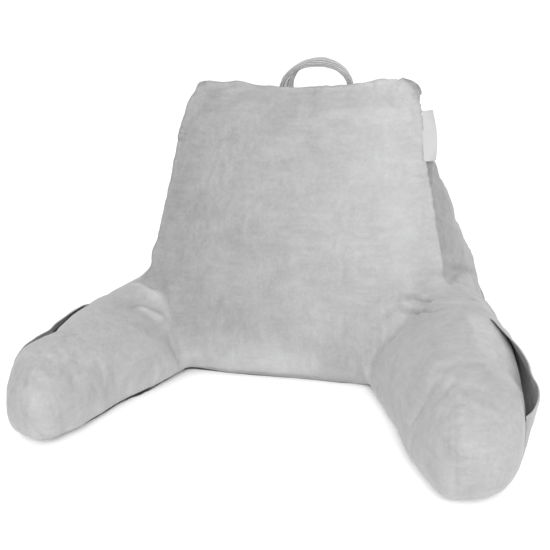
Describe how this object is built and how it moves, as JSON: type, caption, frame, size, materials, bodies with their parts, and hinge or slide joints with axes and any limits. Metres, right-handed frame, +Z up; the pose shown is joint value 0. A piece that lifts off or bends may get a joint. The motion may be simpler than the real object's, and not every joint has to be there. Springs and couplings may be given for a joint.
{
  "type": "reading pillow",
  "caption": "Wedge-backed reading pillow with filled arms, a strap handle sewn into its top seam and an open pocket on each arm's outer side.",
  "frame": {"origin": "on the floor under the back's foot, midway between its sides and below the handle's line", "axes": "+X to the right of someone facing the pillow, -Y from the back towards the arms' tips, +Z up from the floor it rests on"},
  "size_m": [0.6625, 0.5513, 0.4299],
  "materials": {
    "velour": "short soft pile, matt with a light bloom at grazing angles",
    "strap_cloth": "gathered matt cloth",
    "ribbon": "smooth woven ribbon"
  },
  "bodies": {
    "root": {"back_cushion": "velour", "arm_left": "velour", "arm_right": "velour", "pocket_left": "velour", "pocket_right": "velour", "carry_handle": "strap_cloth", "side_label": "ribbon"}
  },
  "joints": []
}
